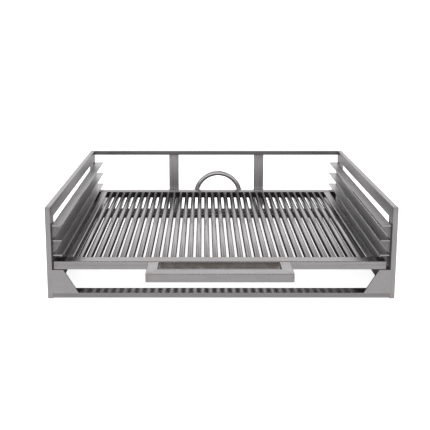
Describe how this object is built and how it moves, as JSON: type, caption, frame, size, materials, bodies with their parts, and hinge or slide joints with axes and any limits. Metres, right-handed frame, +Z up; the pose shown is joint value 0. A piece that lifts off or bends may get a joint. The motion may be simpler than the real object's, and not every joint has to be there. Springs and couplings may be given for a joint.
{
  "type": "fire pit with grate",
  "caption": "Low open stainless-steel fire frame with stepped side ledges and a sliding cooking grate of rounded rods with a front loop handle and a rear arch handle.",
  "frame": {"origin": "on the floor under the middle of the whole object's box, loop handle included", "axes": "+X to the right across the frame, +Y from the loop handle to the back, +Z up"},
  "size_m": [0.8, 0.6096, 0.218],
  "materials": {
    "frame_bar": "brushed along each bar, welds ground flush",
    "ledge_sheet": "fine brushed sheet with bright cut edges",
    "grate_tube": "brushed along each tube, welds ground flush",
    "grate_rod": "bright drawn bar with rounded edges",
    "arch_bar": "bright drawn round bar, bent"
  },
  "bodies": {
    "frame": {"side_frame_left": "frame_bar", "side_frame_right": "frame_bar", "bottom_rail_left": "frame_bar", "bottom_rail_right": "frame_bar", "front_floor_rail": "frame_bar", "rear_floor_rail": "frame_bar", "rear_top_rail": "frame_bar", "rear_upright_left": "frame_bar", "rear_upright_right": "frame_bar", "rear_lip": "ledge_sheet", "gusset_left": "frame_bar", "gusset_right": "frame_bar", "ledge_base_left": "ledge_sheet", "ledge_base_right": "ledge_sheet", "ledge_low_left": "ledge_sheet", "ledge_low_right": "ledge_sheet", "ledge_middle_left": "ledge_sheet", "ledge_middle_right": "ledge_sheet", "ledge_high_left": "ledge_sheet", "ledge_high_right": "ledge_sheet"},
    "grate": {"grate_rail_front": "grate_tube", "grate_rail_rear": "grate_tube", "grate_side_left": "grate_tube", "grate_side_right": "grate_tube", "loop_handle": "grate_tube", "arch_handle": "arch_bar", "grate_rod_01": "grate_rod", "grate_rod_02": "grate_rod", "grate_rod_03": "grate_rod", "grate_rod_04": "grate_rod", "grate_rod_05": "grate_rod", "grate_rod_06": "grate_rod", "grate_rod_07": "grate_rod", "grate_rod_08": "grate_rod", "grate_rod_09": "grate_rod", "grate_rod_10": "grate_rod", "grate_rod_11": "grate_rod", "grate_rod_12": "grate_rod", "grate_rod_13": "grate_rod", "grate_rod_14": "grate_rod", "grate_rod_15": "grate_rod", "grate_rod_16": "grate_rod", "grate_rod_17": "grate_rod", "grate_rod_18": "grate_rod", "grate_rod_19": "grate_rod", "grate_rod_20": "grate_rod", "grate_rod_21": "grate_rod", "grate_rod_22": "grate_rod", "grate_rod_23": "grate_rod", "grate_rod_24": "grate_rod", "grate_rod_25": "grate_rod", "grate_rod_26": "grate_rod", "grate_rod_27": "grate_rod", "grate_rod_28": "grate_rod", "grate_rod_29": "grate_rod", "grate_rod_30": "grate_rod", "grate_rod_31": "grate_rod", "grate_rod_32": "grate_rod", "grate_rod_33": "grate_rod", "grate_rod_34": "grate_rod"}
  },
  "joints": [
    {"name": "grate_slide", "type": "slide", "parent": "frame", "child": "grate", "axis": [0, -1, -0.0087], "range_m": [0, 0.55]}
  ]
}
